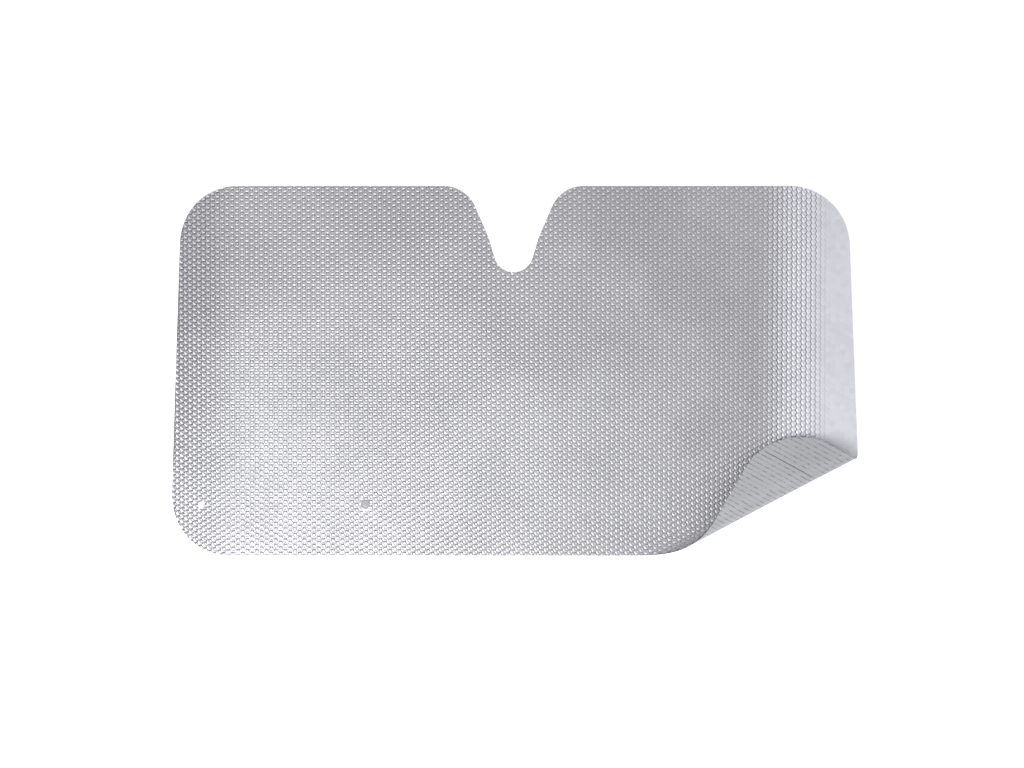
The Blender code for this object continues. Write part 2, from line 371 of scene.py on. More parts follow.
def bubble_cells_group():
    """Which bubble a point of the flat film is on: its place there in pitches, and the bubble's number."""
    group, entry, result = new_group(
        "Bubble cells",
        [("Flat place", "NodeSocketVector"), ("Pitch", "NodeSocketFloat")],
        [("From centre", "NodeSocketFloat"), ("Bubble number", "NodeSocketFloat"),
         ("Across column", "NodeSocketFloat"), ("Along column", "NodeSocketFloat")])
    split = add_node(group, "ShaderNodeSeparateXYZ", {0: entry.outputs["Flat place"]})
    pitch = entry.outputs["Pitch"]
    wide = math_node(group, "MULTIPLY", pitch, math.sqrt(3))
    across = math_node(group, "DIVIDE", split.outputs["X"], wide)
    along = math_node(group, "DIVIDE", split.outputs["Y"], pitch)
    found = []
    for shift in (0.0, 0.5):
        column = math_node(group, "ADD", math_node(
            group, "ROUND", math_node(group, "SUBTRACT", across, shift)), shift)
        row = math_node(group, "ADD", math_node(
            group, "ROUND", math_node(group, "SUBTRACT", along, shift)), shift)
        offset_x = math_node(group, "MULTIPLY", math_node(group, "SUBTRACT", across, column), math.sqrt(3))
        offset_y = math_node(group, "SUBTRACT", along, row)
        square = math_node(group, "ADD", math_node(group, "MULTIPLY", offset_x, offset_x),
                           math_node(group, "MULTIPLY", offset_y, offset_y))
        cell_name = add_node(group, "ShaderNodeCombineXYZ", {"X": column, "Y": row}).outputs[0]
        found.append((math_node(group, "SQRT", square), cell_name, offset_x, offset_y))
    nearer = math_node(group, "LESS_THAN", found[1][0], found[0][0])
    closest = math_node(group, "MINIMUM", found[0][0], found[1][0])
    cell_name = add_node(
        group, "ShaderNodeMix", {0: nearer, 4: found[0][1], 5: found[1][1]}, data_type="VECTOR")
    noise = add_node(group, "ShaderNodeTexWhiteNoise", {"Vector": cell_name.outputs[1]},
                     noise_dimensions="3D")
    group.links.new(closest, result.inputs["From centre"])
    group.links.new(noise.outputs["Value"], result.inputs["Bubble number"])
    for offset, label in ((2, "Across column"), (3, "Along column")):
        chosen = add_node(group, "ShaderNodeMix", {
            0: nearer, 2: found[0][offset], 3: found[1][offset]}, data_type="FLOAT")
        group.links.new(chosen.outputs[0], result.inputs[label])
    return group


def handling_group():
    """Soft creases and cloudy patches that rolling and handling leave in thin film."""
    group, entry, result = new_group(
        "Handling marks",
        [("Flat place", "NodeSocketVector"), ("Crease fineness", "NodeSocketFloat")],
        [("Crease height", "NodeSocketFloat"), ("Cloud", "NodeSocketFloat")])
    creases = add_node(group, "ShaderNodeTexNoise", {
        "Vector": entry.outputs["Flat place"], "Scale": entry.outputs["Crease fineness"],
        "Detail": 5.0, "Roughness": 0.6, "Distortion": 0.4})
    cloud = add_node(group, "ShaderNodeTexNoise", {
        "Vector": entry.outputs["Flat place"], "Scale": 5.0, "Detail": 2.0})
    group.links.new(creases.outputs["Fac"], result.inputs["Crease height"])
    group.links.new(ramp_between(group, cloud.outputs["Fac"], *CLOUD_BAND), result.inputs["Cloud"])
    return group


def new_material(name):
    material = bpy.data.materials.new(name)
    material.use_nodes = True
    return material, material.node_tree, material.node_tree.nodes["Principled BSDF"]


def flat_place(tree):
    return add_node(tree, "ShaderNodeUVMap", uv_map="flat_film").outputs[0]


def bubble_cell(tree, settings, cells, flat):
    return add_node(tree, "ShaderNodeGroup", {
        "Flat place": flat, "Pitch": settings.bubble_pitch}, node_tree=cells).outputs


def handling_marks(tree, handling, flat, fineness):
    return add_node(tree, "ShaderNodeGroup", {
        "Flat place": flat, "Crease fineness": fineness}, node_tree=handling).outputs


def flank_shade_and_light(tree, cell, ahead, rubbed):
    """Painted shade on the right flanks and painted light on the left flanks of the half-rubbed bubbles, up
    to the slanted sides of their six-sided cells.
    """
    slanted = math_node(tree, "MULTIPLY", ahead, 0.5)
    flanks = []
    for side in (1, -1):
        outward = math_node(
            tree, "MULTIPLY_ADD", cell["Across column"], side * math.sqrt(3) / 2, slanted)
        flanks.append(math_node(tree, "MULTIPLY", rubbed, ramp_between(tree, outward, *FLANK_SHADE_AND_LIGHT_BAND)))
    return flanks


def curl_shade_spots(tree, cell, curled):
    """Painted shade: one dark spot on the lower right of each bubble of the curled end."""
    on_bubble = add_node(tree, "ShaderNodeCombineXYZ", {
        "X": cell["Across column"], "Y": cell["Along column"]}).outputs[0]
    away = add_node(tree, "ShaderNodeVectorMath", {0: on_bubble, 1: CURL_SHADE_PLACE}, operation="DISTANCE")
    return math_node(tree, "MULTIPLY", curled, ramp_between(tree, away.outputs["Value"], *CURL_SHADE_BAND))


def bubble_front_material(settings, cells, handling):
    """Aluminised face: painted shade spots on the bubbles' tops and painted highlight rings round them,
    painted shade between the bubbles of a column and painted light between columns, painted shade and light
    on the flanks at the rubbed end, a bright cool painted sheen there, and a curled end painted darker; the
    marks between bubbles are calmer to the right.
    """
    material, tree, shader = new_material("bubble_film_front")
    flat = flat_place(tree)
    cell = bubble_cell(tree, settings, cells, flat)
    marks = handling_marks(tree, handling, flat, FRONT_CREASE_FINENESS)
    along = add_node(tree, "ShaderNodeSeparateXYZ", {0: flat}).outputs["X"]
    full = ramp_between(tree, along, WORN_START_X + WORN_WIDTH, WORN_START_X)
    # Where the flanks of the rubbed end's bubbles get painted shade and light
    rubbed = math_node(tree, "MULTIPLY",
                       ramp_between(tree, along, FLANK_SHADE_START_X, FLANK_SHADE_FULL_X),
                       ramp_between(tree, along, WORN_START_X + WORN_WIDTH, FLANK_SHADE_FADE_X))
    # Curled end: painted darker as shade, rougher, and with painted shade spots
    curled = ramp_between(tree, along, CURL_START_X, CURL_FULL_X)
    # Calm zone: toward the right the painted shade and light between bubbles fade, and the face is a little
    # lighter and rougher
    calm = ramp_between(tree, along, CALM_START_X, CALM_FULL_X)
    ahead = math_node(tree, "ABSOLUTE", cell["Along column"])
    aside = math_node(tree, "ABSOLUTE", cell["Across column"])

    # Painted shade where two bubbles of a column meet, faded out in the calm zone
    valley_shade = math_node(tree, "MULTIPLY", full, ramp_between(tree, ahead, *VALLEY_SHADE_BAND))
    valley_shade = math_node(tree, "MULTIPLY", valley_shade, math_node(tree, "MULTIPLY_ADD", calm, CALM_VALLEY_SHADE, 1.0))
    # Painted light: the gaps between columns are lightened, less so in the calm zone
    seam_light = math_node(tree, "MULTIPLY", full, ramp_between(tree, aside, *SEAM_LIGHT_BAND))
    seam_light = math_node(tree, "MULTIPLY", seam_light, math_node(tree, "MULTIPLY_ADD", calm, CALM_SEAM_LIGHT, 1.0))
    # Painted shade: a dark spot on each full bubble's top, stronger on some bubbles than on others
    spot = math_node(tree, "MULTIPLY", full, ramp_between(tree, cell["From centre"], *SPOT_SHADE_BAND))
    spot = math_node(tree, "MULTIPLY", spot, cell["Bubble number"])
    # Painted highlight: a lighter ring round each full bubble's top
    ring = math_node(tree, "MULTIPLY", ramp_between(tree, cell["From centre"], *HIGHLIGHT_RING_INNER_BAND),
                     ramp_between(tree, cell["From centre"], *HIGHLIGHT_RING_OUTER_BAND))
    ring = math_node(tree, "MULTIPLY", ring, full)
    # Painted shade on the right flanks, painted light on the left
    right_flank_shade, left_flank_light = flank_shade_and_light(tree, cell, ahead, rubbed)

    tone = math_node(tree, "MULTIPLY_ADD", cell["Bubble number"], BUBBLE_TONE, 1.0 - BUBBLE_TONE)
    for mark, change in (
            (marks["Cloud"], CLOUD_TONE), (spot, -settings.top_spot_shade), (ring, RING_HIGHLIGHT_TONE),
            (seam_light, SEAM_LIGHT_TONE), (right_flank_shade, RIGHT_FLANK_SHADE_TONE), (left_flank_light, LEFT_FLANK_LIGHT_TONE),
            (curl_shade_spots(tree, cell, curled), CURL_SPOT_SHADE_TONE), (curled, CURL_SHADE_TONE), (calm, CALM_TONE)):
        tone = math_node(tree, "MULTIPLY_ADD", mark, change, tone)
    # Lavender tint and painted sheen toward the rubbed end, and a slight cool tint in the cloudy patches
    cool = math_node(tree, "MAXIMUM", ramp_between(tree, along, SHEEN_START_X, SHEEN_FULL_X),
                     math_node(tree, "MULTIPLY", marks["Cloud"], CLOUD_COOLNESS))
    dome = mix_colours(tree, cool, settings.front_colour, settings.cool_sheen_colour)
    tinted = mix_colours(tree, valley_shade, dome, settings.valley_shade_colour)
    tree.links.new(scaled_colour(tree, tinted, tone), shader.inputs["Base Color"])

    rough = math_node(tree, "MULTIPLY_ADD", cell["Bubble number"], BUBBLE_ROUGHNESS,
                      settings.roughness - BUBBLE_ROUGHNESS / 2)
    rough = math_node(tree, "MULTIPLY_ADD", curled, CURL_ROUGHNESS, rough)
    rough = math_node(tree, "MULTIPLY_ADD", calm, CALM_ROUGHNESS, rough)
    tree.links.new(rough, shader.inputs["Roughness"])
    shader.inputs["Metallic"].default_value = FRONT_METAL
    add_bump(tree, shader, marks["Crease height"], *FRONT_BUMP)
    return material


def long_crease_and_shade(tree, flat):
    """The long crease, as a thin line between its two ends: a dip in the bump and painted shade in the
    colour.
    """
    place = add_node(tree, "ShaderNodeSeparateXYZ", {0: flat})
    middle = (CREASE_FROM_Y + CREASE_TO_Y) / 2
    half = (CREASE_TO_Y - CREASE_FROM_Y) / 2
    off_line = math_node(tree, "ABSOLUTE", math_node(tree, "SUBTRACT", place.outputs["X"], CREASE_X))
    off_middle = math_node(tree, "ABSOLUTE", math_node(tree, "SUBTRACT", place.outputs["Y"], middle))
    return math_node(tree, "MULTIPLY", ramp_between(tree, off_line, CREASE_WIDTH / 2, CREASE_WIDTH / 4),
                     ramp_between(tree, off_middle, half, half * CREASE_SOFT_END))


def smooth_back_material(settings, cells, handling):
    """Smooth back: the gaps between the bubble columns show through as thin broken lines, and the long
    crease is a dip with painted shade along it.
    """
    material, tree, shader = new_material("bubble_film_back")
    flat = flat_place(tree)
    cell = bubble_cell(tree, settings, cells, flat)
    marks = handling_marks(tree, handling, flat, BACK_CREASE_FINENESS)
    gap = ramp_between(tree, math_node(tree, "ABSOLUTE", cell["Across column"]), *BACK_GAP_BAND)
    stretched = add_node(
        tree, "ShaderNodeVectorMath", {0: flat, 1: BACK_DASH_SCALE}, operation="MULTIPLY")
    breaks = add_node(
        tree, "ShaderNodeTexNoise", {"Vector": stretched.outputs[0], "Scale": 1.0, "Detail": 3.0})
    dashes = math_node(tree, "MULTIPLY_ADD", ramp_between(tree, breaks.outputs["Fac"], *BACK_DASH_BAND),
                       1.0 - BACK_FAINTEST_DASH, BACK_FAINTEST_DASH)
    # The gaps' broken lines, and the painted shade along the long crease
    line = math_node(tree, "MAXIMUM", math_node(tree, "MULTIPLY", gap, dashes),
                     long_crease_and_shade(tree, flat))
    darker = tuple(BACK_LINE_SHARE * part for part in settings.back_colour)
    tinted = mix_colours(tree, line, settings.back_colour, darker)
    tone = math_node(tree, "MULTIPLY_ADD", marks["Cloud"], BACK_CLOUD_TONE, 1.0 - BACK_CLOUD_TONE / 2)
    tree.links.new(scaled_colour(tree, tinted, tone), shader.inputs["Base Color"])
    shader.inputs["Metallic"].default_value = BACK_METAL
    shader.inputs["Roughness"].default_value = BACK_ROUGHNESS
    height = math_node(tree, "MULTIPLY_ADD", line, -BACK_LINE_DEPTH, marks["Crease height"])
    add_bump(tree, shader, height, *BACK_BUMP)
    return material


def cut_edge_material(settings, cells):
    """Cut edge, dark partly in its own colour and partly as painted shade along the edge, and darker with
    painted shade where the knife went through a bubble.
    """
    material, tree, shader = new_material("bubble_film_cut_edge")
    cell = bubble_cell(tree, settings, cells, flat_place(tree))
    # Painted shade in the bubbles that the cut opened
    open_bubble_shade = ramp_between(tree, cell["From centre"], *OPEN_BUBBLE_SHADE_BAND)
    darker = tuple(OPEN_BUBBLE_SHADE_SHARE * part for part in settings.edge_and_shade_colour)
    tree.links.new(mix_colours(tree, open_bubble_shade, settings.edge_and_shade_colour, darker), shader.inputs["Base Color"])
    shader.inputs["Metallic"].default_value = EDGE_METAL
    shader.inputs["Roughness"].default_value = EDGE_ROUGHNESS
    return material


def rounded(corners):
    """Points round a closed outline of (x, y, radius) corners, each turned into an arc."""
    points = []
    for index, (x, y, radius) in enumerate(corners):
        corner = Vector((x, y))
        before = (Vector(corners[index - 1][:2]) - corner).normalized()
        after = (Vector(corners[(index + 1) % len(corners)][:2]) - corner).normalized()
        half = before.angle(after) / 2
        centre = corner + (before + after).normalized() * radius / math.sin(half)
        start = corner + before * radius / math.tan(half) - centre
        turn = before.angle_signed(-after)
        steps = max(2, math.ceil(abs(turn) / ARC_STEP))
        for step in range(steps + 1):
            points.append(tuple(centre + Matrix.Rotation(-turn * step / steps, 2) @ start))
    return points


def notch_lower_angle():
    """Angle off vertical of the notch's lower walls, which touch its round bottom."""
    drop = NOTCH_WAIST_RISE - NOTCH_BOTTOM_RADIUS
    waist = NOTCH_WAIST_WIDTH / 2
    return math.atan2(waist, drop) - math.asin(NOTCH_BOTTOM_RADIUS / math.hypot(waist, drop))


def sheet_outline():
    """Outline of the flat sheet, anticlockwise, with the notch on its centre line."""
    top = SHEET_HEIGHT / 2
    waist = NOTCH_WAIST_WIDTH / 2
    waist_depth = NOTCH_DEPTH - NOTCH_WAIST_RISE
    shoulder = waist + waist_depth * math.tan(NOTCH_UPPER_ANGLE)
    tip_depth = waist_depth + waist / math.tan(notch_lower_angle())
    right = [
        (BOTTOM_WIDTH / 2, -top, BOTTOM_CORNER_RADIUS),
        (TOP_WIDTH / 2, top, TOP_CORNER_RADIUS),
        (shoulder, top, NOTCH_SHOULDER_RADIUS),
        (waist, top - waist_depth, NOTCH_WAIST_RADIUS),
    ]
    tip = [(0.0, top - tip_depth, NOTCH_BOTTOM_RADIUS)]
    left = [(-x, y, radius) for x, y, radius in reversed(right)]
    return np.array(rounded(right + tip + left))


def outline_area(outline):
    x, y = outline.T
    return abs(np.dot(x, np.roll(y, -1)) - np.dot(y, np.roll(x, -1))) / 2


def room_inside(places, outline):
    """How far each flat place is inside the cut film: negative outside it or in one of its holes."""
    x, y = places.T
    nearest = np.full(len(places), np.inf)
    inside = np.zeros(len(places), bool)
    for (ax, ay), (bx, by) in zip(outline, np.roll(outline, -1, axis=0)):
        along = np.clip(((x - ax) * (bx - ax) + (y - ay) * (by - ay))
                        / ((bx - ax) ** 2 + (by - ay) ** 2), 0, 1)
        nearest = np.minimum(nearest, np.hypot(x - ax - along * (bx - ax), y - ay - along * (by - ay)))
        if ay != by:
            inside ^= ((ay > y) != (by > y)) & (x < ax + (y - ay) * (bx - ax) / (by - ay))
    room = np.where(inside, nearest, -nearest)
    for hole_x, radius in ((BUTTON_HOLE_X, BUTTON_HOLE_RADIUS), (STUD_X, BORE_RADIUS)):
        room = np.minimum(room, np.hypot(x - hole_x, y - BUTTON_LINE_Y) - radius)
    return room


def snapped(places, room, outline):
    """Move places that all but touch the cut onto it, so that no sliver is left beside it."""
    near = np.flatnonzero(np.abs(room) < SNAP)
    for _ in range(2):
        here = room_inside(places[near], outline)
        slope = np.stack([
            (room_inside(places[near] + offset, outline) - here) / SLOPE_STEP
            for offset in ((SLOPE_STEP, 0.0), (0.0, SLOPE_STEP))], axis=1)
        places[near] -= here[:, None] * slope / np.maximum((slope ** 2).sum(1), LEAST_SLOPE ** 2)[:, None]
    room[near] = 0.0


def fullness(x):
    """How full the bubbles are: those at the right end have been rolled nearly flat."""
    worn = np.clip((x - WORN_START_X) / WORN_WIDTH, 0, 1) ** WORN_EASE
    return 1.0 - WORN_FLAT * worn * worn * (3 - 2 * worn)


def bubble_lattice(settings, outline):
    """All the bubbles' vertices and triangles: a dished top, a ring round it and corners that they share."""
    pitch = settings.bubble_pitch
    column = pitch * math.sqrt(3) / 2
    columns = math.ceil(BOTTOM_WIDTH / 2 / column) + 1
    rows = math.ceil(SHEET_HEIGHT / 2 / pitch) + 1
    k, j = (grid.ravel() for grid in np.meshgrid(
        np.arange(-columns, columns + 1), np.arange(-rows, rows + 1), indexing="ij"))
    centres = np.stack([k * column, (j + 0.5 * (k % 2)) * pitch], axis=1)
    kept = room_inside(centres, outline) > -OUTER_SHARE * pitch
    k, j, centres = k[kept], j[kept], centres[kept]
    count = len(centres)

    random = np.random.RandomState(settings.seed)
    uneven = settings.unevenness
    top = settings.bubble_top - settings.film_thickness
    full = fullness(centres[:, 0])
    height = settings.film_thickness + top * full * (1 - uneven * random.rand(count))
    dimple = settings.dimple * full * random.uniform(SHALLOWEST_DISH, 1.0, count)
    lean = random.uniform(0, math.tau, count)
    lean_by = settings.bubble_top * LEAN * full * random.rand(count)

    turns = np.radians(np.arange(6) * 60.0)
    ring_radius = RING_SHARE * pitch * random.uniform(1 - RING_SPREAD, 1 + RING_SPREAD, count)
    rings = centres[:, None, :] + ring_radius[:, None, None] * np.stack([np.cos(turns), np.sin(turns)], 1)
    ring_height = height[:, None] + lean_by[:, None] * np.cos(turns[None, :] - lean[:, None])
    jitter = random.uniform(-1, 1, (count, 6))
    ring_height += settings.bubble_top * RING_JITTER * full[:, None] * jitter

    corner_x = 3 * k[:, None] + np.array([2, 1, -1, -2, -1, 1])
    corner_y = (2 * j + k % 2)[:, None] + np.array([0, 1, 1, 0, -1, -1])
    keys, corners = np.unique(corner_x * KEY_STEP + corner_y, return_inverse=True)
    corners = corners.reshape(count, 6)
    corner_places = np.zeros((len(keys), 2))
    corner_places[corners.ravel(), 0] = (corner_x * column / 3).ravel()
    corner_places[corners.ravel(), 1] = (corner_y * pitch / 2).ravel()

    places = np.concatenate([centres, rings.reshape(-1, 2), corner_places])
    heights = np.concatenate([
        height - dimple, ring_height.ravel(), np.full(len(keys), settings.film_thickness)])
    kinds = np.repeat([DISH, CREST, VALLEY], [count, count * 6, len(keys)])
    centre = np.repeat(np.arange(count), 6)
    ring = count + np.arange(count * 6)
    next_ring = count + (np.arange(count)[:, None] * 6 + np.roll(np.arange(6), -1)).ravel()
    corner = count * 7 + corners.ravel()
    next_corner = count * 7 + np.roll(corners, -1, axis=1).ravel()
    triangles = np.concatenate([
        np.stack([centre, ring, next_ring], 1),
        np.stack([ring, corner, next_corner], 1),
        np.stack([ring, next_corner, next_ring], 1)])
    return places, heights, kinds, triangles, centres, corner_places


def press_round_stud(places, heights):
    """Flatten the bubbles under the stud's head and lead them back to full height around it."""
    away = np.hypot(places[:, 0] - STUD_X, places[:, 1] - BUTTON_LINE_Y)
    share_left = np.clip((away - PINCH_RADIUS) / PINCH_LEAD, 0, 1)
    return PINCH_TOP + (heights - PINCH_TOP) * share_left


def cut_to_outline(places, heights, kinds, triangles, outline):
    """Keep the triangles inside the cut line and cut the ones that it crosses."""
    room = room_inside(places, outline)
    snapped(places, room, outline)
    sides = np.sign(room).astype(int)[triangles]
    whole = (sides >= 0).all(1) & (sides > 0).any(1)
    crossed = (sides > 0).any(1) & (sides < 0).any(1)
    kept = triangles[whole].tolist()
    part = triangles[crossed]
    pairs = np.concatenate([part[:, [0, 1]], part[:, [1, 2]], part[:, [2, 0]]])
    pairs = np.unique(np.sort(pairs[room[pairs].prod(1) < 0], axis=1), axis=0)
    inner = np.where((room[pairs[:, 0]] > 0)[:, None], pairs, pairs[:, ::-1])
    low, high = np.zeros(len(inner)), np.ones(len(inner))
    start, span = places[inner[:, 0]], places[inner[:, 1]] - places[inner[:, 0]]
    for _ in range(HALVINGS):
        middle = (low + high) / 2
        still_in = room_inside(start + span * middle[:, None], outline) > 0
        low, high = np.where(still_in, middle, low), np.where(still_in, high, middle)
    new_index = {tuple(pair): len(places) + number for number, pair in enumerate(pairs.tolist())}
    rise = heights[inner[:, 1]] - heights[inner[:, 0]]
    places = np.concatenate([places, start + span * low[:, None]])
    heights = np.concatenate([heights, heights[inner[:, 0]] + rise * low])
    ends = kinds[inner]
    kinds = np.concatenate([kinds, np.where(ends[:, 0] == ends[:, 1], ends[:, 0], CUT)])
    for corner_indices in part.tolist():
        ring = []
        for here, after in zip(corner_indices, corner_indices[1:] + corner_indices[:1]):
            if room[here] >= 0:
                ring.append(here)
            if room[here] * room[after] < 0:
                ring.append(new_index[(min(here, after), max(here, after))])
        for second, third in zip(ring[1:], ring[2:]):
            kept.append([ring[0], second, third])
    return places, heights, kinds, np.array(kept)


def open_edges(triangles):
    """Directed edges that only one triangle has."""
    edges = np.concatenate([triangles[:, [0, 1]], triangles[:, [1, 2]], triangles[:, [2, 0]]])
    keys = np.sort(edges, axis=1)
    _, index, counts = np.unique(keys, axis=0, return_index=True, return_counts=True)
    return edges[index[counts == 1]]


def back_points(centres, corners, outline):
    """Places for the vertices of the smooth back: one a bubble, and three a bubble along the fold."""
    angle = fold_angle(corners)[0]
    curved = (angle > -FOLD_MARGIN) & (angle < math.sin(FOLD_TAPER) * FOLD_TURN + FOLD_MARGIN)
    points = np.concatenate([centres, corners[curved]])
    clear = room_inside(points, outline) > BACK_MARGIN
    clear &= np.hypot(points[:, 0] - STUD_X, points[:, 1] - BUTTON_LINE_Y) > POCKET_RADIUS + BACK_MARGIN
    return points[clear]


def smooth_back(rim, rim_places, inner_points):
    """Triangles of the back between its rim, the pocket's circle and points inside."""
    turns = np.arange(POCKET_POINTS) * math.tau / POCKET_POINTS
    circle = np.stack([STUD_X + POCKET_RADIUS * np.cos(turns),
                       BUTTON_LINE_Y + POCKET_RADIUS * np.sin(turns)], 1)
    places = np.concatenate([rim_places, circle, inner_points])
    first = len(rim_places)
    ring = [(first + step, first + (step + 1) % POCKET_POINTS) for step in range(POCKET_POINTS)]
    edges = [tuple(edge) for edge in rim.tolist()] + ring
    result = delaunay_2d_cdt([Vector(place) for place in places.tolist()], edges, [], 1, SAME_PLACE)
    if len(result[0]) != len(places):
        raise RuntimeError("the smooth back could not be divided into triangles")
    source = [names[0] for names in result[3]]
    faces = np.array([[source[vertex] for vertex in face] for face in result[2]])
    middles = places[faces].mean(axis=1)
    away = np.hypot(middles[:, 0] - BUTTON_HOLE_X, middles[:, 1] - BUTTON_LINE_Y)
    from_stud = np.hypot(middles[:, 0] - STUD_X, middles[:, 1] - BUTTON_LINE_Y)
    solid = (away > BUTTON_HOLE_RADIUS * JUST_INSIDE) & (from_stud > BORE_RADIUS * JUST_INSIDE)
    return places, faces[solid], from_stud[solid] < POCKET_RADIUS, first


def fold_frame():
    """Tip of the fold's cone, the way from it along the start of the bend, and the way across it."""
    start = np.array([FOLD_START_X, -SHEET_HEIGHT / 2, 0.0])
    along = np.array([-math.cos(FOLD_SLOPE), -math.sin(FOLD_SLOPE), 0.0])
    across = np.array([math.sin(FOLD_SLOPE), -math.cos(FOLD_SLOPE), 0.0])
    length = (BOTTOM_WIDTH / 2 + FOLD_TIP_BEYOND - FOLD_START_X) / math.cos(FOLD_SLOPE)
    return start - along * length, along, across


def fold_angle(flat):
    """Angle of each flat place round the cone's tip, from the start of the bend, and its distance."""
    tip, along, across = fold_frame()
    away = flat[:, :2] - tip[:2]
    return np.arctan2(away @ across[:2], away @ along[:2]), np.hypot(away[:, 0], away[:, 1])


def bent(points):
    """Fold the corner over the front, then curl both ends, for points in the flat."""
    points = points.copy()
    tip, along, across = fold_frame()
    angle, distance = fold_angle(points)
    sine, cosine = math.sin(FOLD_TAPER), math.cos(FOLD_TAPER)
    turn = np.clip(angle / sine, 0, FOLD_TURN)[:, None]
    beyond = np.maximum(angle - FOLD_TURN * sine, 0)[:, None]
    up = np.array([0.0, 0.0, 1.0])
    axis = along * cosine + up * sine
    under = along * sine - up * cosine
    outward = under * np.cos(turn) + across * np.sin(turn)
    line = axis * cosine + outward * sine
    side = across * np.cos(turn) - under * np.sin(turn)
    inward = axis * sine - outward * cosine
    place = tip + (line * np.cos(beyond) + side * np.sin(beyond)) * distance[:, None]
    turned = angle > 0
    points[turned] = (place + inward * points[:, 2:])[turned]
    for start, radius, side in ((CURL_START_X, CURL_RADIUS, -1), (RISE_START_X, RISE_RADIUS, 1)):
        past = (points[:, 0] - start) * side
        curled = past > 0
        turn = past / radius
        arm = radius - points[:, 2]
        points[curled, 0] = (start + side * arm * np.sin(turn))[curled]
        points[curled, 2] = (radius - arm * np.cos(turn))[curled]
    return points


def centred_on_frame(points):
    """Slide the lying film along X so that its middle is the middle of the frame's sheet."""
    low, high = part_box("bubble_sheet")
    points[:, 0] += (low.x + high.x) / 2 - (points[:, 0].min() + points[:, 0].max()) / 2
    return points


def film_mesh(settings):
    """The whole film as one closed mesh, with its flat places kept as a UV map."""
    outline = sheet_outline()
    places, heights, kinds, triangles, centres, corners = bubble_lattice(settings, outline)
    heights = press_round_stud(places, heights)
    places, heights, kinds, triangles = cut_to_outline(places, heights, kinds, triangles, outline)
    used, compact = np.unique(triangles, return_inverse=True)
    places, heights, kinds, triangles = places[used], heights[used], kinds[used], compact.reshape(-1, 3)
    rim_edges = open_edges(triangles)
    rim = np.unique(rim_edges)
    rim_place = {vertex: number for number, vertex in enumerate(rim.tolist())}
    back_rim = np.array([[rim_place[a], rim_place[b]] for a, b in rim_edges.tolist()])
    flat_back, back, in_pocket, first = smooth_back(
        back_rim, places[rim], back_points(centres, corners, outline))

    base = len(places)
    from_stud = np.hypot(flat_back[:, 0] - STUD_X, flat_back[:, 1] - BUTTON_LINE_Y)
    back_heights = np.where(from_stud < POCKET_RADIUS * JUST_INSIDE, POCKET_DEPTH, 0.0)
    upper = base + len(flat_back)
    circle = np.arange(POCKET_POINTS)
    raised = np.arange(len(flat_back)) + base
    raised[first:first + POCKET_POINTS] = upper + circle
    back_faces = np.where(in_pocket[:, None], raised[back], back + base)[:, ::-1]
    a, b = rim_edges.T
    low_a, low_b = base + back_rim.T
    after = np.roll(circle, -1)
    walls = np.concatenate([
        np.stack([b, a, low_a], 1), np.stack([b, low_a, low_b], 1),
        np.stack([base + first + circle, base + first + after, upper + after], 1),
        np.stack([base + first + circle, upper + after, upper + circle], 1)])
    flat = np.concatenate([places, flat_back, flat_back[first:first + POCKET_POINTS]])
    levels = np.concatenate([heights, back_heights, np.full(POCKET_POINTS, POCKET_DEPTH)])
    faces = np.concatenate([triangles, back_faces, walls])
    slots = np.repeat([FRONT, BACK, EDGE], [len(triangles), len(back_faces), len(walls)])
    if len(faces) > TRIANGLE_LIMIT:
        raise RuntimeError(f"the film has {len(faces)} triangles; raise the bubble pitch")
    points = centred_on_frame(bent(np.concatenate([flat, levels[:, None]], 1)))
    mesh = bpy.data.meshes.new("bubble_film")
    mesh.from_pydata(points.tolist(), [], faces.tolist())
    mesh.polygons.foreach_set("material_index", slots)
    mesh.polygons.foreach_set("use_smooth", np.ones(len(faces), bool))
    layer = mesh.uv_layers.new(name="flat_film")
    layer.data.foreach_set("uv", flat[faces.ravel()].ravel())
    mark_sharp_edges(mesh, kinds.tolist())
    return mesh


def mark_sharp_edges(mesh, kinds):
    """Part the shading of front, back and cut edge, and of each bubble's dish, flank and neighbours."""
    bm = bmesh.new()
    bm.from_mesh(mesh)
    for edge in bm.edges:
        slots = {face.material_index for face in edge.link_faces}
        ends = [kinds[vert.index] if vert.index < len(kinds) else CUT for vert in edge.verts]
        if len(slots) > 1 or ends in ([CREST, CREST], [VALLEY, VALLEY]):
            edge.smooth = False
    bm.to_mesh(mesh)
    bm.free()
    mesh.update()


class SUNSHADE_OT_film(bpy.types.Operator):
    """Make the bubble film sheet, folded and curled as it lies"""
    bl_idname = "sunshade.film"
    bl_label = "Bubble film"

    def execute(self, context):
        settings = context.scene.sunshade_film
        mesh = film_mesh(settings)
        sheet = bpy.data.objects.new("bubble_film", mesh)
        context.scene.collection.objects.link(sheet)
        cells = bubble_cells_group()
        handling = handling_group()
        mesh.materials.append(bubble_front_material(settings, cells, handling))
        mesh.materials.append(smooth_back_material(settings, cells, handling))
        mesh.materials.append(cut_edge_material(settings, cells))
        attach(sheet, "root")
        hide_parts("bubble_sheet")
        return {"FINISHED"}


def select_only(bm, elements, wanted):
    """Select only those of the edges or faces that pass the test."""
    for element in (*bm.verts, *bm.edges, *bm.faces):
        element.select_set(False)
    for element in elements:
        if wanted(element):
            element.select_set(True)


def select_facing(thing, up):
    """Select the faces of a disc in edit mode that look straight up (1) or straight down (-1)."""
    bm = bmesh.from_edit_mesh(thing.data)
    select_only(bm, bm.faces, lambda face: face.normal.z * up > LEAST_FACING)
    bmesh.update_edit_mesh(thing.data)


